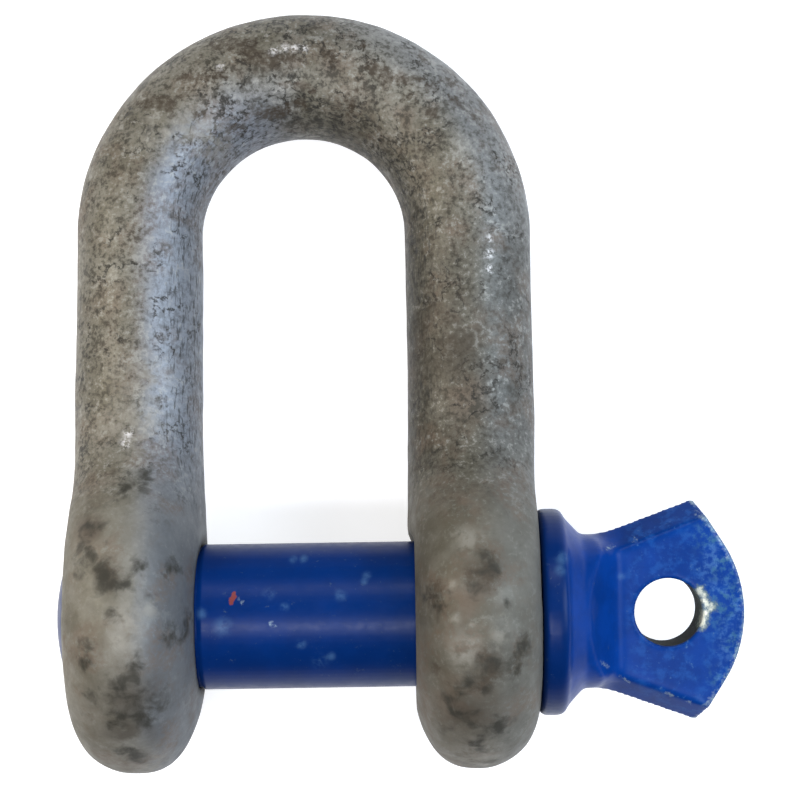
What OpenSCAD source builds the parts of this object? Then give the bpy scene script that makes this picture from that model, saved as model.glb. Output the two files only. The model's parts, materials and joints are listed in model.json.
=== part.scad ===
// Screw pin dee shackle for joining chain, lying as it rests on a floor.
// The pin's axis is X, with the eye of the pin towards +X and the crown of the bow towards +Y.
// The origin is on the pin's axis, midway between the ears. All sizes are in millimetres.

/* [Bow] */
// Diameter of the round bar of the bow
body_d = 25; // [20:0.1:28]
// Clear width inside the bow, between the legs
bow_w = 40.3; // [36:0.1:46]
// Clear length inside the bow, from the pin to the crown
inside_len = 82; // [72:0.5:100]

/* [Ears] */
// Width of the jaw between the forged inner faces of the ears
jaw_w = 39; // [36:0.1:45]
// Outside diameter of each ear about the pin's axis
ear_d = 59.6; // [54:0.1:66]
// Thickness of each ear along the pin's axis
ear_t = 25; // [22:0.1:29]
// Radius of the hollow blend from each leg into its ear
neck_blend_r = 28; // [20:1:45]
// Distance from each ear's inner face to the crest of its rim
ear_rim = 13.4; // [12:0.1:16]
// Fullness of the inner faces: 2 gives an ellipse, more gives a flatter face
ear_full = 2.7; // [2:0.1:4]
// Depth of the spot face milled on the inner side of the plain ear
spot_in = 1.5; // [0.6:0.1:2.5]
// Width of the spot face's run-out past the pin hole, on each side
spot_run = 2.4; // [1:0.1:4]
// Chamfer at each mouth of the two pin holes
hole_chamfer = 0.8; // [0.3:0.1:1.5]

/* [Pin] */
// Diameter of the pin's shank
pin_d = 28; // [24:0.1:30]
// Clearance all round the shank in the plain ear
pin_play = 0.5; // [0.2:0.05:1]
// Step down all round from the shank to the threaded end
thread_step = 0.5; // [0.3:0.1:1.5]
// Clearance all round the threaded end in the tapped ear
thread_play = 0.15; // [0.1:0.05:0.4]
// Length of the tip that stands out of the tapped ear
tip_proud = 3.4; // [1:0.1:6]
// Radius of the pin's domed tip
tip_dome_r = 35; // [25:1:60]
// Gap between the collar and the plain ear when the pin is home
seat_gap = 0.1; // [0.05:0.05:0.5]
// Width of flat ear that shows past the collar's rim
seat_run = 1.2; // [0.5:0.1:3]

/* [Head] */
// Diameter of the collar
collar_d = 39.8; // [36:0.1:46]
// Thickness of the collar at its rim
collar_t = 5.2; // [3.6:0.1:7]
// Radius on the two edges of the collar's rim
rim_r = 1.4; // [0.5:0.1:1.7]
// Length of the cone from the collar down to the neck
cone_len = 3.4; // [2:0.1:6]
// Diameter of the neck between the collar and the eye
neck_d = 29.7; // [26:0.1:33]
// Length of the round neck before the eye's ramp starts
neck_len = 0.5; // [0.2:0.1:2]

/* [Eye] */
// Thickness of the flattened eye
eye_t = 10.5; // [8:0.1:13]
// Width across the two corners of the eye
eye_w = 42.8; // [38:0.1:50]
// Length from the neck to the end of the eye
eye_len = 30.4; // [28:0.1:38]
// Radius at the middle of the curved end of the eye
eye_end_r = 24.5; // [20:0.1:29]
// Angle through which the end curves before it runs straight to each corner
eye_end_turn = 32.5; // [25:0.5:40]
// Length of the ramp from the round neck down to the flat eye
eye_ramp = 6.6; // [5:0.1:8]
// Width of the drafted band along each side of the eye
eye_band = 3.9; // [1:0.1:4.5]
// Diameter of the tommy bar hole
hole_d = 13; // [10:0.1:15]
// Distance from the neck to the middle of the tommy bar hole
hole_at = 15.8; // [15:0.05:18]

/* [Hidden] */
bar_r = body_d / 2;
ear_r = ear_d / 2;
pin_r = pin_d / 2;
thread_r = pin_r - thread_step;
neck_r = neck_d / 2;
collar_r = collar_d / 2;

// Legs, crown and the tilt at which the crown and both ears touch the floor
leg_x = bow_w / 2 + bar_r;
crown_y = inside_len + pin_r - bow_w / 2;
rest_tilt = asin((ear_r - bar_r) / (crown_y + leg_x));

// Hollow blend: it leaves the leg at blend_y and meets the ear's outline at blend_end_y
blend_y = sqrt(pow(ear_r + neck_blend_r, 2) - pow(bar_r + neck_blend_r, 2));
blend_end_y = blend_y * ear_r / (ear_r + neck_blend_r);
spot_x = jaw_w / 2 + spot_in;
seat_y = collar_r + seat_run;
neck_rings = 18;
neck_points = 48;
face_points = 20;
skin_in = 0.03;

// Places along the pin
ear_out_x = jaw_w / 2 + ear_t;
crest_x = jaw_w / 2 + ear_rim;
tip_x = -ear_out_x - tip_proud;
thread_x = -jaw_w / 2 - thread_step;
seat_x = ear_out_x + seat_gap;
rim_x = seat_x + collar_t;
cone_x = rim_x + cone_len;
neck_x = cone_x + neck_len;
hole_x = neck_x + hole_at;
end_x = neck_x + eye_len;
end_centre_x = end_x - eye_end_r;
turn_x = end_centre_x + eye_end_r * cos(eye_end_turn);
turn_y = eye_end_r * sin(eye_end_turn);
corner_x = turn_x - (eye_w / 2 - turn_y) * tan(eye_end_turn);

// Eye: its sides spread over the ramp, then run straight to the corners
flare = (eye_w / 2 - neck_r) / (corner_x - neck_x - eye_ramp / 2);
ramp_top = 0.97 * neck_r;
side_points = 8;
flat_points = 6;
ramp_rings = 10;

$fn = 96;
cut = 1;

function smooth(t) = t * t * (3 - 2 * t);

// Solid skinned over a list of closed rings that have the same number of points
module loft(rings) {
    n = len(rings[0]);
    last = len(rings) - 1;
    points = [for (ring = rings) each ring];
    sides = [
        for (r = [0 : last - 1])
            for (i = [0 : n - 1])
                [r * n + i, (r + 1) * n + i, (r + 1) * n + (i + 1) % n, r * n + (i + 1) % n]
    ];
    first_cap = [[for (i = [0 : n - 1]) i]];
    last_cap = [[for (i = [n - 1 : -1 : 0]) last * n + i]];
    polyhedron(points, concat(sides, first_cap, last_cap), convexity = 4);
}

// Half depth of the neck, from the ear's round outline through the hollow blend to the leg
function neck_depth(y) =
    y < blend_end_y
        ? sqrt(ear_r * ear_r - y * y)
        : bar_r + neck_blend_r - sqrt(pow(neck_blend_r, 2) - pow(blend_y - y, 2));

// Inner side of the neck and the crest of its edges, from the ear to the leg
function neck_in(y) = (jaw_w + (bow_w - jaw_w) * smooth(y / blend_y)) / 2;
function neck_crest(y) = crest_x + (leg_x - crest_x) * smooth(y / blend_y);

// Outer side of the neck: flat past the collar's rim, then out to the leg
function neck_out(y) =
    let (t = smooth(max(0, y - seat_y) / (blend_y - seat_y)))
        ear_out_x * (1 - t) + (bow_w / 2 + body_d) * t;

// Flat face with a full round edge: its height h falls to nothing at depth d
function flat_face(z, h, d) =
    let (edge = min(h, d), over = max(0, abs(z) - d + edge) / edge)
        h * sqrt(max(0, 1 - over * over));

// Crowned face: its height h falls away all the way to depth d
function crowned_face(z, h, d, full) = h * pow(max(0, 1 - pow(abs(z) / d, full)), 1 / full);

// Section across the neck: crowned inside, flat outside, round where it joins the leg
function neck_ring(y) =
    let (
        crest = neck_crest(y),
        h_in = crest - neck_in(y) - skin_in,
        h_out = neck_out(y) - crest - skin_in,
        d = neck_depth(y) - skin_in,
        full = ear_full + (2 - ear_full) * smooth(y / blend_y)
    )
    [
        for (i = [0 : neck_points - 1])
            let (a = 360 * i / neck_points, z = d * cos(a))
                [crest + (sin(a) < 0 ? -crowned_face(z, h_in, d, full) : flat_face(z, h_out, d)), y, z]
    ];

// Lower half of an ear: a disc with a crowned inner face, a flat outer face and a round rim
module ear_disc() {
    rim = min(ear_out_x - crest_x, ear_r);
    translate([crest_x, 0, 0])
        rotate([0, 90, 0])
            rotate([0, 0, 180])
                rotate_extrude(angle = 180) {
                    square([ear_r - rim, rim]);
                    intersection() {
                        translate([ear_r - rim, 0])
                            circle(rim);
                        translate([ear_r - rim, 0])
                            square(rim);
                    }
                    polygon([
                        [0, 0],
                        for (i = [0 : face_points])
                            let (r = ear_r * cos(90 * i / face_points))
                                [r, -crowned_face(r, ear_rim, ear_r, ear_full)]
                    ]);
                }
}

// One side of the bow: leg, neck and ear
module side() {
    translate([leg_x, blend_y, 0])
        rotate([-90, 0, 0])
            cylinder(r = bar_r, h = crown_y - blend_y);
    loft([for (i = [0 : neck_rings]) neck_ring(blend_y * i / neck_rings)]);
    ear_disc();
}

// Half ring of round bar that joins the two legs
module crown() {
    translate([0, crown_y, 0])
        rotate_extrude(angle = 180)
            translate([leg_x, 0])
                circle(bar_r);
}

// Pin hole through the ear on the +X side, chamfered at both mouths; mouth_x is the inner one
module pin_hole(r, mouth_x) {
    rotate([0, 90, 0]) {
        translate([0, 0, mouth_x - cut])
            cylinder(r = r, h = ear_out_x - mouth_x + 2 * cut);
        translate([0, 0, mouth_x - cut])
            cylinder(r1 = r + hole_chamfer + cut, r2 = r, h = hole_chamfer + cut);
        translate([0, 0, ear_out_x - hole_chamfer])
            cylinder(r1 = r, r2 = r + hole_chamfer + cut, h = hole_chamfer + cut);
    }
}

// Spot face milled across the inner side of the plain ear, with a sloped run-out
module spot_face() {
    far = ear_r + cut;
    translate([0, 0, -far])
        linear_extrude(2 * far)
            polygon([
                [spot_x, -far],
                [spot_x, pin_r],
                [jaw_w / 2 - cut, pin_r + spot_run * (spot_in + cut) / spot_in],
                [jaw_w / 2 - cut, -far]
            ]);
}

module dee_body() {
    color([0.46, 0.45, 0.42])
        rotate([-rest_tilt, 0, 0])
            difference() {
                union() {
                    crown();
                    side();
                    mirror([1, 0, 0])
                        side();
                }
                spot_face();
                pin_hole(pin_r + pin_play, spot_x);
                mirror([1, 0, 0])
                    pin_hole(thread_r + thread_play, jaw_w / 2);
            }
}

// Half width of the neck and eye at distance s from the neck
function eye_side(s) =
    s < eye_ramp
        ? neck_r + flare * s * s / (2 * eye_ramp)
        : neck_r + flare * (s - eye_ramp / 2);

// Half thickness of the neck and eye: the ramp runs down to the flat of the eye
function eye_face(s) = eye_t / 2 + (ramp_top - eye_t / 2) * pow(max(0, 1 - s / eye_ramp), 1.4);

// Slope of the drafted band along the sides, which grows out of the round neck
function eye_slope(s) = eye_band / (eye_t / 2) * smooth(min(1, max(0, s / eye_ramp)));

// Section across the eye: a round bar cut by two flats and by the drafted bands
function eye_ring(x) =
    let (
        s = x - neck_x,
        w = eye_side(max(0, s)),
        face = eye_face(max(0, s)),
        k = eye_slope(s),
        edge = atan2(face, min(w - k * face, sqrt(w * w - face * face))),
        quarter = [
            for (i = [0 : side_points]) edge * i / side_points,
            for (i = [1 : flat_points]) edge + (90 - edge) * i / flat_points
        ],
        q = len(quarter) - 1,
        turns = [
            for (i = [0 : q - 1]) quarter[i],
            for (i = [0 : q - 1]) 180 - quarter[q - i],
            for (i = [0 : q - 1]) 180 + quarter[i],
            for (i = [0 : q - 1]) 360 - quarter[q - i]
        ]
    )
    [
        for (t = turns)
            let (
                c = abs(cos(t)),
                d = max(abs(sin(t)), 0.0001),
                r = min(w, face / d, w / (c + k * d))
            )
            [x, r * cos(t), r * sin(t)]
    ];

// Outline of the eye's end: an arc that runs straight on to the corners
module eye_outline() {
    run_y = eye_w / 2 + 2 * cut;
    run_x = turn_x - (run_y - turn_y) * tan(eye_end_turn);
    back_x = cone_x - cone_len;
    translate([end_centre_x, 0])
        circle(eye_end_r);
    polygon([
        [turn_x, turn_y],
        [run_x, run_y],
        [back_x, run_y],
        [back_x, -run_y],
        [run_x, -run_y],
        [turn_x, -turn_y]
    ]);
}

// Forged eye: skinned from the neck outwards, trimmed to its end and drilled
module eye() {
    stations = [
        cone_x - cone_len / 2,
        for (i = [0 : ramp_rings]) neck_x + eye_ramp * i / ramp_rings,
        end_x + cut
    ];
    difference() {
        intersection() {
            loft([for (x = stations) eye_ring(x)]);
            translate([0, 0, -neck_r - cut])
                linear_extrude(2 * (neck_r + cut))
                    eye_outline();
        }
        translate([hole_x, 0, -eye_t])
            cylinder(d = hole_d, h = 2 * eye_t);
    }
}

// Half profile of the turned part of the pin: domed tip, threaded end, shank, collar and cone
module pin_profile() {
    intersection() {
        polygon([
            [0, tip_x],
            [thread_r, tip_x],
            [thread_r, thread_x],
            [0, thread_x]
        ]);
        translate([0, tip_x + tip_dome_r])
            circle(tip_dome_r);
    }
    polygon([
        [0, thread_x - cut],
        [thread_r, thread_x - cut],
        [thread_r, thread_x],
        [pin_r, thread_x + thread_step],
        [pin_r, seat_x],
        [collar_r - rim_r, seat_x],
        [collar_r - rim_r, seat_x + rim_r],
        [collar_r, seat_x + rim_r],
        [collar_r, rim_x - rim_r],
        [collar_r - rim_r, rim_x - rim_r],
        [collar_r - rim_r, rim_x],
        [neck_r - cone_drop(cut), cone_x + cut],
        [0, cone_x + cut]
    ]);
    translate([collar_r - rim_r, seat_x + rim_r])
        circle(rim_r);
    translate([collar_r - rim_r, rim_x - rim_r])
        circle(rim_r);
}

// Fall of the cone's radius over length h
function cone_drop(h) = (collar_r - rim_r - neck_r) * h / cone_len;

module screw_pin() {
    color([0.02, 0.11, 0.36]) {
        rotate([0, 90, 0])
            rotate_extrude()
                pin_profile();
        eye();
    }
}

dee_body();
screw_pin();
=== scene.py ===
import json
import math

import bmesh
import bpy
import numpy as np
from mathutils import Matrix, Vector, noise


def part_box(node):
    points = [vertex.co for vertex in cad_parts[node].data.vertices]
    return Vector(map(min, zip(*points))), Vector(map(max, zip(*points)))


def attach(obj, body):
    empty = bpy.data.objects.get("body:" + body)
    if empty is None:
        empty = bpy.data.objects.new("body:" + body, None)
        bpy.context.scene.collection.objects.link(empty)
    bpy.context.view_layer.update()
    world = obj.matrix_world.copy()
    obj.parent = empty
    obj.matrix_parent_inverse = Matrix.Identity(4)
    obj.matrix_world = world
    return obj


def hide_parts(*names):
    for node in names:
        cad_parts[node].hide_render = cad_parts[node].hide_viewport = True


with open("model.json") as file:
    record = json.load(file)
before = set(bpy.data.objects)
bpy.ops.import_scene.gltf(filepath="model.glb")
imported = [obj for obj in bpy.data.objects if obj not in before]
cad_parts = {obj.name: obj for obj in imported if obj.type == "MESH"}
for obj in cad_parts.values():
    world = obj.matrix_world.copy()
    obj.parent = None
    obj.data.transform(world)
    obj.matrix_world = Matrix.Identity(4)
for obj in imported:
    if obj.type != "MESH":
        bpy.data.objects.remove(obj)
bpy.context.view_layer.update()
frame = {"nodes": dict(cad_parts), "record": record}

MM = 0.001

# Camera: straight down on the shackle, which lies on the floor
CAMERA_AT = (18.733 * MM, 41.448 * MM, 389.5 * MM)
CAMERA_ROLL = math.radians(-0.893)
CAMERA_NEAR = 10 * MM
SENSOR = 36
FOCAL_PIXELS = 2007.7
IMAGE_PIXELS = 800

# Sizes of the bow, as in the frame
BOW_LOW, BOW_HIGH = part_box("dee_body")
BAR_R = 12.5 * MM
LEG_X = BOW_HIGH[0] - BAR_R
CROWN_Y = 75.85 * MM
EAR_R = -BOW_LOW[2]
JAW_X = 19.5 * MM
EAR_OUT_X = 44.5 * MM
TAPPED_R = 13.65 * MM
TILT = math.asin((EAR_R - BAR_R) / (CROWN_Y + LEG_X))

# Sizes of the pin, as in the frame
PIN_LOW, PIN_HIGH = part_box("screw_pin")
TOMMY_HOLE = next(mount for mount in frame["record"]["mounts"] if mount["name"] == "tommy_hole")
PIN_R = 14 * MM
THREAD_R = 13.5 * MM
THREAD_X = -20 * MM
TIP_X = PIN_LOW[0]
DOME_R = 35 * MM
SEAT_X = 44.6 * MM
COLLAR_R = 19.9 * MM
NECK_X = 53.7 * MM
EYE_T = TOMMY_HOLE["dims"]["length_mm"] * MM
EYE_END_X = PIN_HIGH[0]
EYE_END_R = 24.5 * MM
EYE_END_TURN = math.radians(32.5)
EYE_CORNER_Y = 21 * MM
HOLE_X = TOMMY_HOLE["pos_m"][0]
HOLE_R = TOMMY_HOLE["dims"]["r_mm"] * MM

# Thread: right-hand, one pitch per turn, with flats on its crest and at its root
PITCH = 3 * MM
THREAD_DEPTH = 1.5 * MM
FLANK_RISE = 1.35
CREST_FLAT = 0.2

# Threaded tube in the tapped ear: its ends lie inside the ear's faces
TAPPED_CUT = 1.2 * MM
TAPPED_INSET = 1.7 * MM
TAPPED_RUN_OUT = 1.2 * MM
TAPPED_SLACK = 0.25 * MM
TAPPED_RINGS = 150
TAPPED_POINTS = 120

# Threaded end of the pin: it joins the shank at SPLIT_X
SPLIT_X = THREAD_X + 1.5 * MM
JOIN_GAP = 0.5 * MM
JOIN_EASE = 0.01 * MM
PIN_RUN_OUT = 1.4 * MM
TIP_GAP = 0.3 * MM
ROOT_GAP = 0.4 * MM
THREAD_RINGS = 140
DOME_RINGS = 14
PIN_POINTS = 144

# Meshes: voxel sizes, passes of smoothing and reach of a weld
BODY_VOXEL = 0.74 * MM
PIN_VOXEL = 0.42 * MM
BODY_PASSES = 4
PIN_PASSES = 3
CREASE_PASSES = 26
SMOOTHING = 0.5
SOFT_LEVELS = 4
MERGE_REACH = 0.001 * MM
WELD_REACH = 3 * MM

# Unevenness of the forging: height in mm, waves per metre and shift of each layer of noise
LUMPS = ((0.16, 70, Vector((0, 0, 0))), (0.09, 210, Vector((7, 3, 1))))

# Zones of the bow: where each starts and how far it takes to rise, in lengths or as a share of facing
CLEAR_OF_HOLES = (17 * MM, 5 * MM)
UPPER_SIDE = (-4 * MM, 10 * MM)
LEG_RISE = (10 * MM, 28 * MM)
DULL_SHADE_SIDE = (4 * MM, 20 * MM)
DULL_SHADE_END = (62 * MM, 26 * MM)
SHEEN_FACING = (-0.08, 0.5)
EAR_SHADE_FACING = (0.1, 0.6)
CROWN_RISE = (66 * MM, 34 * MM)
CROWN_SIDE = (12 * MM, 18 * MM)
INNER_FACING = (0.25, 0.5)
# The UNDER zones and strengths set painted shade along the legs' innermost edges
UNDER_FACING = (0.72, 0.22)
UNDER_SIDE = (-10 * MM, 20 * MM)
HOLE_SHADE_RING = (14.6 * MM, 1.5 * MM)

# Strengths of the bow's zones
DULL_SHADE_EAR = 0.72
SHEEN_EAR = 0.35
SHEEN_RIGHT = 0.45
UNDER_LEFT = 0.15
UNDER_MORE = 0.25

# Zones of the pin, in the same way
FACE_DEPTH = (3 * MM, 1.2 * MM)
FACE_END = (1.2 * MM, 2 * MM)
FACE_HOLE = (HOLE_R + 0.8 * MM, 1.5 * MM)
PAST_NECK = (NECK_X + 1.5 * MM, 2 * MM)
PAST_SHOULDER = (SEAT_X + 3.2 * MM, MM)
ON_EYE = (NECK_X + 6 * MM, 3 * MM)
ON_COLLAR = (SEAT_X - 0.5 * MM, MM)
PAST_COLLAR = (SEAT_X + 3.8 * MM, 2 * MM)
PAST_SHANK = (SEAT_X, MM)
EYE_UPPER = (0.15, 0.4)
WALL_RING = (HOLE_R + 0.1 * MM, 0.5 * MM)
WALL_TOP = (EYE_T / 2 - 0.9 * MM, 0.8 * MM)
SCUFF_RISE = (60 * MM, 2 * MM)

# Reach and strength of the wear on the pin's edges
END_REACH = 2.2 * MM
HOLE_REACH = 2.6 * MM
CORNER_REACH = 2.4 * MM
RIM_REACH = 0.8 * MM
RIM_BACK = 0.2 * MM
END_WEAR = 0.62
CORNER_WEAR = 0.75
RIM_WEAR = 0.2
HOLE_WEAR = 0.75
CHIP_WEAR = 0.66
SHOULDER_SOFT = 0.75
SHANK_SHADE = 0.8
UPPER_SHADE = 0.35

# Spots on the bow: x, y and radius in mm. Dark stains, right ear first
STAINS = [
    (34, 10.5, 6), (32.5, 7.5, 4.5), (25, 6, 5.5), (25, 4, 5), (37.5, 5, 2), (34.5, -6.5, 5.5), (31.5, -10, 5),
    (38.5, -6, 4), (40, -3, 3.5), (38, -8.5, 3.5), (28, -12.5, 5), (29, -16, 7), (31, -17.5, 5), (36, -18.5, 5),
    (33.5, -19.5, 4), (32.5, -22, 5.5),
    (-34.5, 10.5, 6.5), (-38.5, 19, 5.5), (-35.5, 16.5, 3), (-38.5, 14.5, 5.5), (-31.5, 9, 3.5),
    (-39.5, 10.5, 3), (-29, 12, 3.5), (-27.5, 7, 3.5), (-33.5, 4, 4), (-23.5, 11, 4), (-22.5, 0.5, 6),
    (-38.5, -2.5, 4), (-38.5, -5, 4), (-29, -5, 5.5), (-32.5, -9.5, 6), (-29, -9.5, 5.5), (-35, -11.5, 5),
    (-38.5, -12, 5), (-30, -12, 6.5), (-26.5, -12.5, 5.5), (-33.5, -16.5, 6.5), (-29, -16, 5.5),
    (-32.5, -23, 5.5), (-33, 26, 5), (-29.5, 27, 4.5)
]
# Broad dark brown patches
DARK_PATCHES = [
    (34, 10.5, 5.5), (33, 8, 4), (34, -6.5, 5.5), (32, -9.5, 4), (30.5, -16, 8), (28.5, 53.5, 13),
    (-38.5, 19, 4), (-34.5, 10.5, 5), (-31, -12, 9.5), (-32, -19, 8)
]
# Pale bare zinc; the large spot at the right ear's bottom rim (32.5, -25.5) is painted light from the floor's
# bounce
PALE = [
    (27.5, 8, 1.5), (30, 8.5, 1.5), (37, 2, 1.5), (28, 2, 1.5), (31, 1, 1), (36, -1, 3), (35, -4, 2),
    (29.5, -4, 5), (30.5, 16, 4), (32.5, -25.5, 8.5), (-31, 3, 5.5), (-32.5, -1, 3.5), (-27, 4.5, 3),
    (-33, 37, 10), (-30, 38, 5), (-31.5, 46, 8), (-29, -25, 6), (-27.5, 94.5, 8), (-21.5, 95.5, 7),
    (-17.5, 93, 6)
]
RUST = [
    (-38, 27.5, 6), (-38, 37, 5), (-38.5, 18, 5), (-20, 104, 6), (20, 96, 6), (-36.5, 62, 6), (30, 6, 9),
    (29, -13, 9), (30, 22, 7), (31, 42, 8), (6, 107.5, 5)
]
# Bright flecks: rubbed spots painted as glints, a painted highlight
GLINT_SPOTS = [
    (-33, 36, 1.5), (-33.5, 34, 1.5), (-5, 110.5, 1.2), (-3, 111, 1.3), (-1, 111, 1.3), (1, 111, 1.2),
    (-15.5, 107.5, 1), (36.5, 66.5, 1.3), (36.5, 69.5, 1.4), (36.5, 72.5, 1.1)
]
# Smudges on the bow are strokes: x and y of both ends and radius in mm. The crown first, then the ears
SMUDGES = [
    (-23.5, 105.5, -14.5, 105.5, 2.5), (-30.5, 101, -26, 99.5, 3.5), (-23, 102, -22, 102.5, 2),
    (-20, 109, -19.5, 109.5, 1.5), (-16.5, 112, -9.5, 112.5, 3), (-11, 110.5, -5.5, 108.5, 3),
    (-5, 108.5, 0, 109, 1.5), (-4, 104, -0.5, 103.5, 1.5), (-7.5, 98.5, 0, 100, 2), (-20, 98, -19, 98, 1.5),
    (-14, 95.5, -12, 96, 1.5), (0.5, 104, 2.5, 102.5, 1.5), (5.5, 109.5, 7, 108.5, 2.5),
    (12, 111.5, 13, 111.5, 1.5), (10.5, 102.5, 11.5, 102.5, 1.5), (10, 101, 9.5, 98, 1.5),
    (14.5, 107, 18, 104.5, 3), (20.5, 104, 23.5, 104.5, 2.5), (25, 102.5, 26.5, 102.5, 2),
    (21, 100.5, 22.5, 101, 2), (30, 100.5, 35.5, 96, 2), (25.5, 97, 26, 97.5, 2), (24, 109.5, 25.5, 108.5, 2),
    (28.5, 104.5, 30, 103.5, 2),
    (34.5, 12.5, 34.5, 9, 3.5), (33, 10.5, 31, 9.5, 2.5), (25, 7.5, 24.5, 5, 2.5), (33.5, -4.5, 35, -7.5, 2.5),
    (35, -8, 32.5, -10.5, 2.5), (40.5, -2, 38.5, -8, 2), (24.5, -8, 24.5, -7, 1.5), (-35, 11, -33.5, 9.5, 3)
]

# Spots on the pin: thin paint at the eye's end, pale rubs and the orange primer
THIN = [(80.5, 1.5, 8.5), (80, 9, 7), (78, 14.5, 5.5), (82, -6, 5.5), (79.5, -12.5, 4)]
RUBS = [
    (-6.5, 5.5, 1.6), (3, -7.5, 2.2), (5, -6.5, 1.3), (12, 8.5, 1.2), (11.5, 7.5, 1), (-2, 11.5, 1.1),
    (0, 11.5, 1.1), (-19, 2, 1.6), (-15, -0.5, 2.6), (48.5, 11.5, 2), (48, 9.5, 1.6), (60.5, 7, 1.2),
    (-3.5, 3, 1.2), (7, 5, 1.6), (-0.5, -4, 1.4)
]
PRIMER = [(-13, 5.5, 1), (-13, 5, 1.1), (-13.5, 4.5, 1.1), (-13.5, 4, 1)]
# Strokes on the pin: chips down to the metal, and the pale smear beside the tommy bar hole, worn metal whose
# pale core is partly a painted highlight
CHIPS = [
    (-12, 4.5, -11.5, 4, 1.2), (-6, 0, -5.5, -0.5, 1.4), (58, 12.5, 59.5, 13, 1.2), (63, 13.5, 63.5, 14, 1),
    (56, -8.5, 57.5, -10, 1), (60, -12, 62, -13.5, 0.9), (69, -15.5, 70, -16, 1.2), (72.5, -17, 73.5, -17.5, 1),
    (75.5, 19, 78.5, 16, 2), (76.5, -18, 78, -16, 2), (80.5, 12, 81.5, 10, 1.7), (83.5, 6, 84, 1.5, 1.3),
    (83, -6.5, 82, -9.5, 1.3), (80.5, -12.5, 79.5, -14.5, 1.4)
]
SMEAR = [(75.5, 4, 76.5, 2, 2.1), (76, -2.5, 76.5, 0, 2.1), (77, 1, 78, 1, 2)]

# Colours of the bow
ZINC_DARK = (0.128, 0.114, 0.082)
ZINC_MIDDLE = (0.186, 0.170, 0.132)
ZINC_LIGHT = (0.262, 0.245, 0.203)
# Painted bluish sheen
ZINC_SHEEN_BLUE = (0.272, 0.302, 0.362)
# Painted shade inside the left ear
ZINC_EAR_SHADE = (0.085, 0.095, 0.112)
# Duller zinc, partly painted shade, on the right half
ZINC_DULL_SHADE = (0.050, 0.045, 0.031)
ZINC_PALE = (0.31, 0.285, 0.235)
RUST_BROWN = (0.170, 0.118, 0.084)
SPECK_DARK = (0.043, 0.038, 0.028)
SPECK_LIGHT = (0.37, 0.355, 0.315)
CRACK_DARK = (0.026, 0.023, 0.018)
STREAK_DARK = (0.036, 0.034, 0.030)
PATCH_BROWN = (0.062, 0.049, 0.035)
SMUDGE_BROWN = (0.060, 0.043, 0.028)
STAIN_DARK = (0.034, 0.031, 0.023)
# Painted shade
SHADE_DARK = (0.020, 0.019, 0.016)
# Painted highlight
GLINT_BRIGHT = (0.72, 0.68, 0.65)

# Colours of the pin
BLUE_DARK = (0.0004, 0.029, 0.177)
BLUE_LIGHT = (0.0008, 0.038, 0.228)
# Painted shade
BLUE_SHADE = (0.0002, 0.013, 0.074)
BLUE_SCUFFED = (0.010, 0.074, 0.29)
BLUE_FLECKED = (0.04, 0.14, 0.34)
BLUE_RUBBED = (0.085, 0.19, 0.34)
BLUE_WORN = (0.085, 0.20, 0.40)
GREEN_WORN = (0.050, 0.150, 0.195)
BARE_STEEL = (0.31, 0.39, 0.41)
# Dirty steel and painted shade
HOLE_DARK = (0.030, 0.030, 0.022)
SMEAR_EDGE = (0.140, 0.190, 0.150)
# Partly a painted highlight
SMEAR_PALE = (0.66, 0.65, 0.52)
PRIMER_RED = (0.27, 0.050, 0.016)

# Floor, lamps and world
FLOOR_HALF = 6.0
FLOOR_PLAIN = (0.7, 0.7, 0.7, 1)
FLOOR_SEEN = (0.64, 0.64, 0.64, 1)
FLOOR_GLOW = 0.7
WHITE = (1, 1, 1, 1)
WORLD_LIGHT = 0.09
AIM = Vector((0.015, 0.035, 0))
# Each lamp: name, place, size, power, colour
LIGHTS = [
    ("key_left", (-0.34, 0.12, 0.25), (0.26, 0.30), 1.1, (1.0, 0.95, 0.86)),
    ("key_top", (0.05, 0.52, 0.48), (0.40, 0.15), 1.3, (0.93, 0.95, 1.0)),
    ("window_right", (0.43, 0.12, 0.42), (0.40, 0.36), 3.3, (0.69, 0.84, 1.0)),
    ("front_strip", (-0.035, -0.13, 0.62), (0.26, 0.07), 2.3, (0.88, 0.90, 1.0)),
]


def smooth(t):
    """Smooth step from 0 to 1."""
    t = np.clip(t, 0, 1)
    return t * t * (3 - 2 * t)


def ramp(value, start, run):
    """0 up to start, rising smoothly to 1 over run."""
    return smooth((value - start) / run)


def near(distance, reach):
    """1 at no distance, falling smoothly to 0 at reach."""
    return 1 - smooth(distance / reach)


def steps(start, end, count):
    """Evenly spaced values from start to end, both included."""
    return [start + (end - start) * i / count for i in range(count + 1)]


def points_of(mesh):
    flat = np.empty(len(mesh.vertices) * 3)
    mesh.vertices.foreach_get("co", flat)
    return flat.reshape(-1, 3)


def normals_of(mesh):
    flat = np.empty(len(mesh.vertices) * 3)
    mesh.vertices.foreach_get("normal", flat)
    return flat.reshape(-1, 3)


def axis_distance(points):
    """Distance of each point from the pin's axis."""
    return np.hypot(points[:, 1], points[:, 2])


def bake(piece):
    """Applies a piece's modifiers to its mesh."""
    graph = bpy.context.evaluated_depsgraph_get()
    made = bpy.data.meshes.new_from_object(piece.evaluated_get(graph))
    before = piece.data
    piece.modifiers.clear()
    piece.data = made
    bpy.data.meshes.remove(before)
    made.name = piece.name


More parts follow.
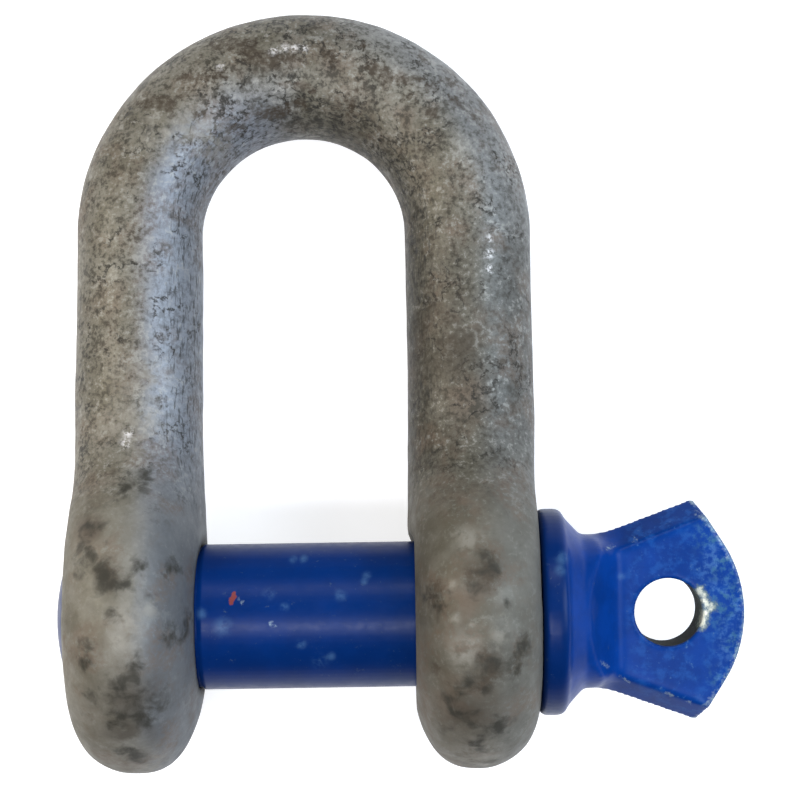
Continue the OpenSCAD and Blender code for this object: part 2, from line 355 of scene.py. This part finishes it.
def reskin(node, name, voxel, passes):
    """New piece with a node's form, remeshed in even quads and lightly smoothed."""
    source = frame["nodes"][node]
    mesh = source.data.copy()
    mesh.materials.clear()
    mesh.transform(source.matrix_world)
    bm = bmesh.new()
    bm.from_mesh(mesh)
    bmesh.ops.remove_doubles(bm, verts=bm.verts, dist=MERGE_REACH)
    bm.to_mesh(mesh)
    bm.free()
    piece = bpy.data.objects.new(name, mesh)
    bpy.context.scene.collection.objects.link(piece)
    remesh = piece.modifiers.new("Remesh", "REMESH")
    remesh.mode = "VOXEL"
    remesh.voxel_size = voxel
    relax = piece.modifiers.new("Relax", "SMOOTH")
    relax.factor = SMOOTHING
    relax.iterations = passes
    bake(piece)
    return piece


def soften(piece, weights, passes):
    """Rounds a piece's creases, by the weight of each vertex."""
    group = piece.vertex_groups.new(name="soft")
    for level in range(1, SOFT_LEVELS + 1):
        low, high = (level - 0.5) / SOFT_LEVELS, (level + 0.5) / SOFT_LEVELS
        chosen = np.flatnonzero((weights > low) & (weights <= high))
        group.add([int(i) for i in chosen], level / SOFT_LEVELS, "REPLACE")
    ease = piece.modifiers.new("Soften", "SMOOTH")
    ease.factor = SMOOTHING
    ease.iterations = passes
    ease.vertex_group = "soft"
    bake(piece)
    piece.vertex_groups.clear()


def drop(piece, unwanted):
    """Deletes the vertices that a mask picks."""
    bm = bmesh.new()
    bm.from_mesh(piece.data)
    bm.verts.ensure_lookup_table()
    doomed = [bm.verts[i] for i in np.flatnonzero(unwanted)]
    bmesh.ops.delete(bm, geom=doomed, context="VERTS")
    bm.to_mesh(piece.data)
    bm.free()


def turn_ring(x, radius, count, groove=None):
    """Ring of points round the pin's axis; groove gives each point's change of radius."""
    ring = []
    for i in range(count):
        a = 2 * math.pi * i / count
        r = radius + (groove(x, a) if groove else 0)
        ring.append((x, r * math.cos(a), r * math.sin(a)))
    return ring


def add_rings(piece, rings, cap=None):
    """Adds a tube skinned over rings of points, welded to the open edges that its ends meet.

    With a cap, the far end is closed by a fan to that point instead.
    """
    bm = bmesh.new()
    bm.from_mesh(piece.data)
    open_edges = [edge for edge in bm.edges if edge.is_boundary]
    rows = [[bm.verts.new(p) for p in ring] for ring in rings]
    count = len(rows[0])
    for a, b in zip(rows, rows[1:]):
        for i in range(count):
            j = (i + 1) % count
            bm.faces.new((a[i], a[j], b[j], b[i]))
    welded = [rows[0], rows[-1]]
    if cap is not None:
        welded = [rows[0]]
        tip = bm.verts.new(cap)
        for i in range(count):
            bm.faces.new((rows[-1][i], rows[-1][(i + 1) % count], tip))
    for row in welded:
        ring_edges = [bm.edges.get((row[i], row[(i + 1) % count])) for i in range(count)]
        close = [edge for edge in open_edges if abs(edge.verts[0].co.x - row[0].co.x) < WELD_REACH]
        bmesh.ops.bridge_loops(bm, edges=ring_edges + close)
    bmesh.ops.recalc_face_normals(bm, faces=bm.faces)
    bm.to_mesh(piece.data)
    bm.free()


def shade(piece):
    """Smooth shading all over."""
    piece.data.polygons.foreach_set("use_smooth", [True] * len(piece.data.polygons))
    piece.data.update()


def put(mesh, name, values):
    """Stores one number or one vector per vertex."""
    kind, field = ("FLOAT_VECTOR", "vector") if values.ndim == 2 else ("FLOAT", "value")
    layer = mesh.attributes.new(name, kind, "POINT")
    layer.data.foreach_set(field, np.ascontiguousarray(values, dtype=np.float32).ravel())


def thread_wave(x, a):
    """0 on the crest of the thread and 1 at its root."""
    phase = (x / PITCH - a / (2 * math.pi)) % 1
    ridge = abs(2 * phase - 1)
    return min(1, max(0, FLANK_RISE * ridge - CREST_FLAT))


def fade(x, start, end, run):
    """1 between start and end, falling to 0 over run at both ends."""
    return float(smooth((x - start) / run) * smooth((end - x) / run))


def spots(points, places, height):
    """Soft round spots on the upper side, where height is above zero."""
    total = np.zeros(len(points))
    for x, y, r in places:
        distance = np.hypot(points[:, 0] - x * MM, points[:, 1] - y * MM)
        total = np.maximum(total, near(distance, r * MM))
    return total * ramp(height, *UPPER_SIDE)


def strokes(points, lines, height):
    """Soft straight strokes on the upper side, where height is above zero."""
    total = np.zeros(len(points))
    for x0, y0, x1, y1, r in lines:
        start = np.array((x0, y0)) * MM
        run = np.array((x1 - x0, y1 - y0)) * MM
        part = np.clip((points[:, :2] - start) @ run / (run @ run), 0, 1)
        distance = np.linalg.norm(points[:, :2] - start - part[:, None] * run, axis=1)
        total = np.maximum(total, near(distance, r * MM))
    return total * ramp(height, *UPPER_SIDE)


# Bow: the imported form, slightly uneven, with a thread in its tapped ear
bow = reskin("dee_body", "bow_forging", BODY_VOXEL, BODY_PASSES)
at = points_of(bow.data)
in_ear = (at[:, 0] < -JAW_X - TAPPED_CUT) & (at[:, 0] > -EAR_OUT_X + TAPPED_CUT)
drop(bow, in_ear & (axis_distance(at) < TAPPED_R + TAPPED_SLACK))

at = points_of(bow.data)
lump = np.array([
    sum(height * noise.noise(Vector(p) * waves + shift) for height, waves, shift in LUMPS)
    for p in at
])
lump = lump * ramp(axis_distance(at), *CLEAR_OF_HOLES)
at = at + normals_of(bow.data) * (lump * MM)[:, None]
bow.data.vertices.foreach_set("co", at.ravel())

tapped_from = -JAW_X - TAPPED_INSET
tapped_to = -EAR_OUT_X + TAPPED_INSET


def tapped_groove(x, a):
    """Depth of the thread in the tapped ear, cut outwards."""
    return THREAD_DEPTH * thread_wave(x, a) * fade(x, tapped_to, tapped_from, TAPPED_RUN_OUT)


add_rings(bow, [
    turn_ring(x, TAPPED_R, TAPPED_POINTS, tapped_groove)
    for x in steps(tapped_from, tapped_to, TAPPED_RINGS)
])
shade(bow)

# The bow's own axes, which are tilted about X, and its course along and around the bar
at = points_of(bow.data)
tilt_cos, tilt_sin = math.cos(TILT), math.sin(TILT)
bx = at[:, 0]
by = at[:, 1] * tilt_cos - at[:, 2] * tilt_sin
bz = at[:, 1] * tilt_sin + at[:, 2] * tilt_cos
on_left = bx < 0
past_legs = by > CROWN_Y
turn = np.arctan2(np.maximum(by - CROWN_Y, 0), np.abs(bx))
across = np.where(past_legs, np.hypot(bx, by - CROWN_Y), np.abs(bx)) - LEG_X
along = np.where(past_legs, CROWN_Y + LEG_X * turn, by)
along = np.where(on_left, 2 * CROWN_Y + math.pi * LEG_X - along, along)
around = np.arctan2(bz, across)
put(bow.data, "flow", np.stack([along, BAR_R * np.cos(around), BAR_R * np.sin(around)], axis=1))

for name, places in (("stain", STAINS), ("dark_patch", DARK_PATCHES), ("pale", PALE), ("rust", RUST), ("painted_glint", GLINT_SPOTS)):
    put(bow.data, name, spots(at, places, bz))
put(bow.data, "smudge", strokes(at, SMUDGES, bz))

on_leg = ramp(by, *LEG_RISE)
put(bow.data, "leg", on_leg)
# Right leg and ear darker: partly duller brown zinc, partly painted shade
dull_and_shade = ramp(bx, *DULL_SHADE_SIDE) * (1 - ramp(by, *DULL_SHADE_END))
put(bow.data, "dull_and_shade", dull_and_shade * (DULL_SHADE_EAR + (1 - DULL_SHADE_EAR) * on_leg))
# Painted bluish sheen on the sides that face +X, weaker on the ears and on the right leg
facing_x = normals_of(bow.data)[:, 0]
blue_sheen = ramp(facing_x, *SHEEN_FACING) * (SHEEN_EAR + (1 - SHEEN_EAR) * on_leg)
put(bow.data, "blue_sheen", blue_sheen * np.where(on_left, 1, SHEEN_RIGHT))
# Painted shade on the inner side of the left ear
put(bow.data, "ear_shade", ramp(facing_x, *EAR_SHADE_FACING) * (1 - on_leg) * on_left)
put(bow.data, "crown", ramp(by, *CROWN_RISE) * (1 - ramp(np.abs(bx), *CROWN_SIDE)))
inward = -np.cos(around)
put(bow.data, "inner", ramp(inward, *INNER_FACING) * on_leg)
# Painted shade along the legs' innermost edges and round the pin holes, where the pin sits
under = ramp(inward, *UNDER_FACING) * on_leg * (UNDER_LEFT + UNDER_MORE * ramp(bx, *UNDER_SIDE))
put(bow.data, "painted_shade", np.maximum(1 - ramp(axis_distance(at), *HOLE_SHADE_RING), under))


def end_gap_of(points):
    """Distance in from the end of the eye: an arc in the middle, straight to the corners."""
    turn_cos, turn_sin = math.cos(EYE_END_TURN), math.sin(EYE_END_TURN)
    from_end = points[:, 0] - EYE_END_X + EYE_END_R
    from_axis = np.abs(points[:, 1])
    arc_gap = EYE_END_R - np.hypot(from_end, from_axis)
    line_gap = EYE_END_R - from_end * turn_cos - from_axis * turn_sin
    return np.where(from_axis > EYE_END_R * turn_sin, line_gap, arc_gap)


def dome_x(radius):
    """Place along X of the pin's domed tip, at a distance from its axis."""
    return TIP_X + DOME_R - math.sqrt(DOME_R ** 2 - radius ** 2)


# Pin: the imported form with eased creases, and a thread on its end
pin = reskin("screw_pin", "pin_forging", PIN_VOXEL, PIN_PASSES)
at = points_of(pin.data)
from_hole = np.hypot(at[:, 0] - HOLE_X, at[:, 1])
past_neck = ramp(at[:, 0], *PAST_NECK)
on_face = ramp(np.abs(at[:, 2]), *FACE_DEPTH) * past_neck
on_face *= ramp(end_gap_of(at), *FACE_END) * ramp(from_hole, *FACE_HOLE)
shoulder = ramp(at[:, 0], *PAST_SHOULDER) * (1 - past_neck)
soften(pin, np.maximum(on_face, SHOULDER_SOFT * shoulder), CREASE_PASSES)
at = points_of(pin.data)
drop(pin, at[:, 0] < SPLIT_X)

dome_edge_x = dome_x(THREAD_R)


def pin_groove(x, a):
    """Depth of the pin's thread, cut inwards."""
    return -THREAD_DEPTH * thread_wave(x, a) * fade(x, dome_edge_x + TIP_GAP, THREAD_X - ROOT_GAP, PIN_RUN_OUT)


rings = [
    turn_ring(SPLIT_X - JOIN_GAP, PIN_R, PIN_POINTS),
    turn_ring(THREAD_X + JOIN_GAP, PIN_R - JOIN_EASE, PIN_POINTS)
]
rings += [
    turn_ring(x, THREAD_R, PIN_POINTS, pin_groove)
    for x in steps(THREAD_X, dome_edge_x, THREAD_RINGS)
]
for i in range(1, DOME_RINGS):
    radius = THREAD_R * (1 - i / DOME_RINGS)
    rings.append(turn_ring(dome_x(radius), radius, PIN_POINTS))
add_rings(pin, rings, cap=(TIP_X, 0, 0))
shade(pin)

at = points_of(pin.data)
height = at[:, 2]
on_eye = ramp(at[:, 0], *ON_EYE)
end_gap = end_gap_of(at)
face_gap = np.maximum(0, EYE_T / 2 - np.abs(height))
end_edge = near(np.hypot(end_gap, face_gap), END_REACH) * on_eye
corner = near(np.hypot(end_gap, EYE_CORNER_Y - np.abs(at[:, 1])), CORNER_REACH) * on_eye
from_hole = np.hypot(at[:, 0] - HOLE_X, at[:, 1])
hole_side = np.clip((at[:, 0] - HOLE_X) / np.maximum(from_hole, 0.1 * MM), 0, 1)
hole_edge = near(np.abs(from_hole - HOLE_R), HOLE_REACH) * hole_side ** 3
rim = near(np.abs(axis_distance(at) - COLLAR_R), RIM_REACH)
rim *= (at[:, 0] > SEAT_X - RIM_BACK) * (at[:, 0] < NECK_X)
put(pin.data, "edge", np.maximum.reduce([
    END_WEAR * end_edge, CORNER_WEAR * corner, RIM_WEAR * rim, HOLE_WEAR * hole_edge
]))

for name, places in (("thin", THIN), ("rub", RUBS), ("primer", PRIMER)):
    put(pin.data, name, spots(at, places, height))
put(pin.data, "chip", CHIP_WEAR * strokes(at, CHIPS, height))
# Smear beside the hole: bare metal, its pale core partly a painted highlight
put(pin.data, "smear", strokes(at, SMEAR, height))

# Painted shade: the shank, the collar and the eye's upper bevel darker
collar = ramp(at[:, 0], *ON_COLLAR) * (1 - ramp(at[:, 0], *PAST_COLLAR))
shank = 1 - ramp(at[:, 0], *PAST_SHANK)
upper = ramp(normals_of(pin.data)[:, 1], *EYE_UPPER) * on_eye
put(pin.data, "dull_and_shade", SHANK_SHADE * shank + collar + UPPER_SHADE * upper)
# The hole's wall: dirty bare steel, darkened further as painted shade
wall = (1 - ramp(from_hole, *WALL_RING)) * on_eye
put(pin.data, "wall", wall * (1 - ramp(np.abs(height), *WALL_TOP)))
put(pin.data, "scuff", on_eye * ramp(at[:, 0], *SCUFF_RISE))


class Paint:
    """Short hand for a material's nodes."""

    # Sockets of the mix node that hold its two colours, and its mixed colour
    FIRST, SECOND, MIXED = 6, 7, 2

    def __init__(self, name):
        self.material = bpy.data.materials.new(name)
        self.material.use_nodes = True
        self.tree = self.material.node_tree
        self.tree.nodes.clear()

    def node(self, kind, inputs=(), **settings):
        """New node; an input is a fixed value or the socket that feeds it."""
        made = self.tree.nodes.new(kind)
        for key, value in settings.items():
            setattr(made, key, value)
        for key, value in dict(inputs).items():
            if isinstance(value, bpy.types.NodeSocket):
                self.tree.links.new(value, made.inputs[key])
            else:
                made.inputs[key].default_value = value
        return made

    def here(self):
        """Place in the piece, in metres."""
        return self.node("ShaderNodeTexCoord").outputs["Object"]

    def flow(self, stretch):
        """Place along and around the bar, stretched."""
        place = self.node("ShaderNodeAttribute", attribute_name="flow").outputs["Vector"]
        return self.node("ShaderNodeMapping", {"Vector": place, "Scale": stretch}).outputs["Vector"]

    def layer(self, name):
        """Number stored on the piece's vertices."""
        return self.node("ShaderNodeAttribute", attribute_name=name).outputs["Fac"]

    def noise(self, place, scale, detail, rough, twist=0):
        """Noise with a scale in waves per metre."""
        made = self.node("ShaderNodeTexNoise", {
            "Vector": place, "Scale": scale, "Detail": detail, "Roughness": rough, "Distortion": twist
        })
        return made.outputs["Fac"]

    def span(self, value, low, high, bottom=0.0, top=1.0):
        """Smooth step from bottom to top, as a value goes from low to high."""
        made = self.node("ShaderNodeMapRange", {
            "Value": value, "From Min": low, "From Max": high, "To Min": bottom, "To Max": top
        }, interpolation_type="SMOOTHSTEP")
        return made.outputs["Result"]

    def maths(self, how, a, b):
        return self.node("ShaderNodeMath", {0: a, 1: b}, operation=how).outputs[0]

    def times(self, a, b):
        return self.maths("MULTIPLY", a, b)

    def plus(self, a, b):
        return self.maths("ADD", a, b)

    def mix(self, amount, a, b):
        """Colour a where amount is 0 and colour b where it is 1."""
        made = self.node("ShaderNodeMix", {"Factor": amount}, data_type="RGBA")
        for key, value in ((self.FIRST, a), (self.SECOND, b)):
            if isinstance(value, bpy.types.NodeSocket):
                self.tree.links.new(value, made.inputs[key])
            else:
                made.inputs[key].default_value = (*value, 1)
        return made.outputs[self.MIXED]

    def coat(self, colour, amount, share, top):
        """Colour under a share of another, where amount is above 0."""
        return self.mix(self.times(amount, share), colour, top)

    def bump(self, height, strength, distance, normal=None):
        """Normal bent by a height, on top of another bump if one is given."""
        inputs = {"Height": height, "Strength": strength, "Distance": distance}
        if normal is not None:
            inputs["Normal"] = normal
        return self.node("ShaderNodeBump", inputs).outputs["Normal"]

    def finish(self, **inputs):
        """Puts the shader's inputs in place and gives the material."""
        shader = self.node("ShaderNodeBsdfPrincipled", inputs={
            key.replace("_", " "): value for key, value in inputs.items()
        })
        self.node("ShaderNodeOutputMaterial", {"Surface": shader.outputs["BSDF"]})
        return self.material


def galvanised_steel():
    p = Paint("galvanised_steel")
    here = p.here()
    leg = p.layer("leg")
    crown = p.layer("crown")
    blue_sheen = p.layer("blue_sheen")
    clump = p.noise(here, 250, 4, 0.6)
    fine = p.noise(here, 1000, 5, 0.7)

    # Clouded zinc, with a painted bluish sheen on sides facing +X, painted shade inside the left ear, and
    # duller zinc with painted shade on the right leg and ear
    cloud = p.span(p.noise(here, 50, 4, 0.6), 0.34, 0.66)
    patch = p.span(p.noise(here, 190, 5, 0.65, 0.3), 0.38, 0.64)
    colour = p.mix(cloud, ZINC_DARK, ZINC_MIDDLE)
    colour = p.coat(colour, patch, 0.40, ZINC_LIGHT)
    colour = p.coat(colour, blue_sheen, 0.62, ZINC_SHEEN_BLUE)
    colour = p.coat(colour, p.layer("ear_shade"), 0.55, ZINC_EAR_SHADE)
    colour = p.coat(colour, p.layer("dull_and_shade"), 0.50, ZINC_DULL_SHADE)

    # Rust, in loose patches and at its marks
    rust = p.times(p.span(p.noise(here, 85, 5, 0.65), 0.47, 0.64), p.span(fine, 0.36, 0.56))
    rust = p.maths("MAXIMUM", rust, p.times(p.layer("rust"), p.span(clump, 0.36, 0.60)))
    colour = p.coat(colour, rust, 0.50, RUST_BROWN)

    # Dark and light specks, mostly on the legs and the crown
    specks = p.plus(p.times(clump, 0.75), fine)
    specks = p.plus(specks, p.times(crown, 0.040))
    speckled = p.plus(p.span(leg, 0.0, 1.0, 0.10, 0.82), p.times(crown, 0.04))
    dark = p.times(p.span(specks, 0.82, 1.10), speckled)
    dark = p.times(dark, p.span(blue_sheen, 0.0, 1.0, 1.0, 0.5))
    colour = p.mix(dark, colour, SPECK_DARK)
    light = p.times(p.span(specks, 0.80, 0.66), p.span(leg, 0.0, 1.0, 0.12, 0.45))
    colour = p.mix(light, colour, SPECK_LIGHT)

    # Fine cracks in the zinc, in patches
    ridge = p.maths("ABSOLUTE", p.maths("SUBTRACT", p.noise(here, 200, 5, 0.6, 0.3), 0.5), 0)
    where = p.span(p.plus(p.noise(here, 120, 4, 0.6), p.times(crown, 0.08)), 0.46, 0.58)
    crack = p.times(p.span(ridge, 0.036, 0.010), p.times(where, p.span(fine, 0.40, 0.55)))
    crack = p.times(crack, leg)
    colour = p.coat(colour, crack, 0.85, CRACK_DARK)

    # Streaks along the bar on the inside of the bow
    streak = p.noise(p.flow((0.22, 1.0, 1.0)), 1900, 3, 0.6)
    line = p.times(p.span(streak, 0.53, 0.64), p.layer("inner"))
    colour = p.coat(colour, line, 0.72, STREAK_DARK)

    # Marks, broken up by noise
    # Pale zinc; one spot at the right ear's bottom rim is painted light
    pale = p.times(p.layer("pale"), p.span(p.noise(here, 420, 4, 0.6), 0.35, 0.6))
    colour = p.coat(colour, pale, 0.55, ZINC_PALE)
    dark_patch = p.times(p.layer("dark_patch"), p.span(p.noise(here, 160, 4, 0.6), 0.32, 0.54))
    colour = p.coat(colour, dark_patch, 0.72, PATCH_BROWN)
    smudge = p.plus(p.times(p.layer("smudge"), 0.45), specks)
    smudge = p.times(p.span(smudge, 0.98, 1.42), p.span(p.layer("smudge"), 0.02, 0.2))
    colour = p.coat(colour, smudge, 0.62, SMUDGE_BROWN)
    blot = p.span(p.noise(here, 280, 4, 0.55, 0.3), 0.26, 0.74)
    blot = p.plus(p.times(p.layer("stain"), 0.66), p.times(blot, 0.80))
    colour = p.coat(colour, p.span(blot, 0.66, 1.36), 0.90, STAIN_DARK)
    # Painted shade round the pin holes and along the legs' inner edges
    colour = p.coat(colour, p.layer("painted_shade"), 0.85, SHADE_DARK)
    # Painted highlight: bright glints on rubbed spots
    painted_glint = p.times(p.layer("painted_glint"), p.span(p.noise(here, 1300, 4, 0.7), 0.44, 0.58))
    colour = p.mix(painted_glint, colour, GLINT_BRIGHT)

    rough = p.span(p.noise(here, 340, 4, 0.6), 0.3, 0.7, 0.52, 0.68)
    rough = p.maths("SUBTRACT", rough, p.times(leg, 0.10))
    skin = p.bump(p.noise(here, 330, 4, 0.6), 0.28, 0.25 * MM)
    skin = p.bump(specks, 0.35, -0.12 * MM, skin)
    skin = p.bump(crack, 0.5, -0.10 * MM, skin)
    return p.finish(Base_Color=colour, Roughness=rough, Metallic=0.3, Specular_IOR_Level=0.22, Normal=skin)


def blue_paint():
    p = Paint("blue_paint")
    here = p.here()
    flakes = p.noise(here, 1200, 5, 0.7)
    coarse = p.noise(here, 380, 4, 0.65)
    ragged = p.plus(p.times(coarse, 0.5), p.times(flakes, 1.3))

    # Clouded blue, with painted shade on the shank, the collar and the eye's upper bevel, scuffed on the eye
    # and rubbed in spots
    cloud = p.span(p.noise(here, 110, 5, 0.65), 0.36, 0.64)
    colour = p.mix(cloud, BLUE_DARK, BLUE_LIGHT)
    colour = p.coat(colour, p.layer("dull_and_shade"), 0.78, BLUE_SHADE)
    scuff = p.times(p.layer("scuff"), p.span(coarse, 0.46, 0.66))
    colour = p.coat(colour, scuff, 0.60, BLUE_SCUFFED)
    fleck = p.times(p.layer("scuff"), p.span(flakes, 0.60, 0.72))
    colour = p.coat(colour, fleck, 0.44, BLUE_FLECKED)
    rub = p.times(p.layer("rub"), p.span(coarse, 0.32, 0.62))
    colour = p.coat(colour, rub, 0.42, BLUE_RUBBED)

    # Thin paint at the end of the eye
    thin = p.times(p.layer("thin"), p.span(p.noise(here, 760, 4, 0.6), 0.42, 0.64))
    worn = p.mix(p.span(p.noise(here, 230, 4, 0.6), 0.42, 0.58), BLUE_WORN, GREEN_WORN)
    colour = p.coat(colour, thin, 0.62, worn)

    # Bare metal on edges and chips, the hole's wall dark with dirty steel and painted shade, the smear beside
    # it with a partly painted highlight, and the primer
    rubbed = p.maths("MAXIMUM", p.layer("edge"), p.layer("chip"))
    bare = p.span(p.plus(rubbed, ragged), 1.30, 1.76)
    bare = p.times(bare, p.span(rubbed, 0.04, 0.24))
    colour = p.coat(colour, bare, 0.75, BARE_STEEL)
    colour = p.coat(colour, p.layer("wall"), 0.95, HOLE_DARK)
    smear = p.plus(p.times(p.layer("smear"), 0.8), ragged)
    colour = p.coat(colour, p.span(smear, 1.05, 1.45), 0.65, SMEAR_EDGE)
    colour = p.coat(colour, p.span(smear, 1.34, 1.84), 0.95, SMEAR_PALE)
    primer = p.span(p.plus(p.layer("primer"), flakes), 0.90, 1.20)
    colour = p.coat(colour, primer, 0.75, PRIMER_RED)

    rough = p.span(p.noise(here, 500, 3, 0.6), 0.3, 0.7, 0.30, 0.38)
    rough = p.plus(rough, p.times(p.layer("wall"), 0.5))
    peel = p.bump(p.noise(here, 450, 4, 0.55), 0.10, 0.10 * MM)
    peel = p.bump(bare, 0.3, -0.06 * MM, peel)
    return p.finish(
        Base_Color=colour, Roughness=rough, Metallic=p.times(bare, 0.3),
        Specular_IOR_Level=0.10, Normal=peel
    )


for piece, body, node, slot, material in (
    (bow, "bow", "dee_body", "galvanised_steel", galvanised_steel()),
    (pin, "pin", "screw_pin", "blue_paint", blue_paint()),
):
    piece.data.materials.clear()
    piece.data.materials.append(material)
    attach(piece, body)
    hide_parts(node)

# Floor: white to the camera and in reflections, with the shackle's soft shadow
FLOOR_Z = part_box("dee_body")[0][2]
floor_mesh = bpy.data.meshes.new("floor")
floor_mesh.from_pydata(
    [(x * FLOOR_HALF, y * FLOOR_HALF, FLOOR_Z) for x, y in ((-1, -1), (1, -1), (1, 1), (-1, 1))],
    [], [(0, 1, 2, 3)]
)
floor = bpy.data.objects.new("floor", floor_mesh)
bpy.context.scene.collection.objects.link(floor)
ground = Paint("floor_white")
rays = ground.node("ShaderNodeLightPath").outputs
seen = ground.maths("MAXIMUM", rays["Is Camera Ray"], rays["Is Glossy Ray"])
seen = ground.maths("MAXIMUM", seen, rays["Is Transmission Ray"])
plain = ground.node("ShaderNodeBsdfDiffuse", {"Color": FLOOR_PLAIN}).outputs[0]
white = ground.node("ShaderNodeBsdfDiffuse", {"Color": FLOOR_SEEN}).outputs[0]
glow = ground.node("ShaderNodeEmission", {"Color": WHITE, "Strength": FLOOR_GLOW}).outputs[0]
lit = ground.node("ShaderNodeAddShader", {0: white, 1: glow}).outputs[0]
blend = ground.node("ShaderNodeMixShader", {0: seen, 1: plain, 2: lit}).outputs[0]
ground.node("ShaderNodeOutputMaterial", {"Surface": blend})
floor_mesh.materials.append(ground.material)

for name, place, size, power, colour in LIGHTS:
    lamp = bpy.data.lights.new(name, "AREA")
    lamp.shape = "RECTANGLE"
    lamp.size, lamp.size_y = size
    lamp.energy = power
    lamp.color = colour
    holder = bpy.data.objects.new(name, lamp)
    holder.location = place
    holder.rotation_euler = (AIM - Vector(place)).to_track_quat("-Z", "Y").to_euler()
    bpy.context.scene.collection.objects.link(holder)

world = bpy.data.worlds.new("studio")
world.use_nodes = True
sky = world.node_tree.nodes["Background"]
sky.inputs["Color"].default_value = WHITE
sky.inputs["Strength"].default_value = WORLD_LIGHT
bpy.context.scene.world = world

camera_data = bpy.data.cameras.new("camera")
camera_data.lens = SENSOR * FOCAL_PIXELS / IMAGE_PIXELS
camera_data.sensor_width = SENSOR
camera_data.clip_start = CAMERA_NEAR
camera = bpy.data.objects.new("camera", camera_data)
camera.location = CAMERA_AT
camera.rotation_euler = (0, 0, CAMERA_ROLL)
bpy.context.scene.collection.objects.link(camera)
bpy.context.scene.camera = camera
bpy.context.scene.view_settings.view_transform = "Standard"
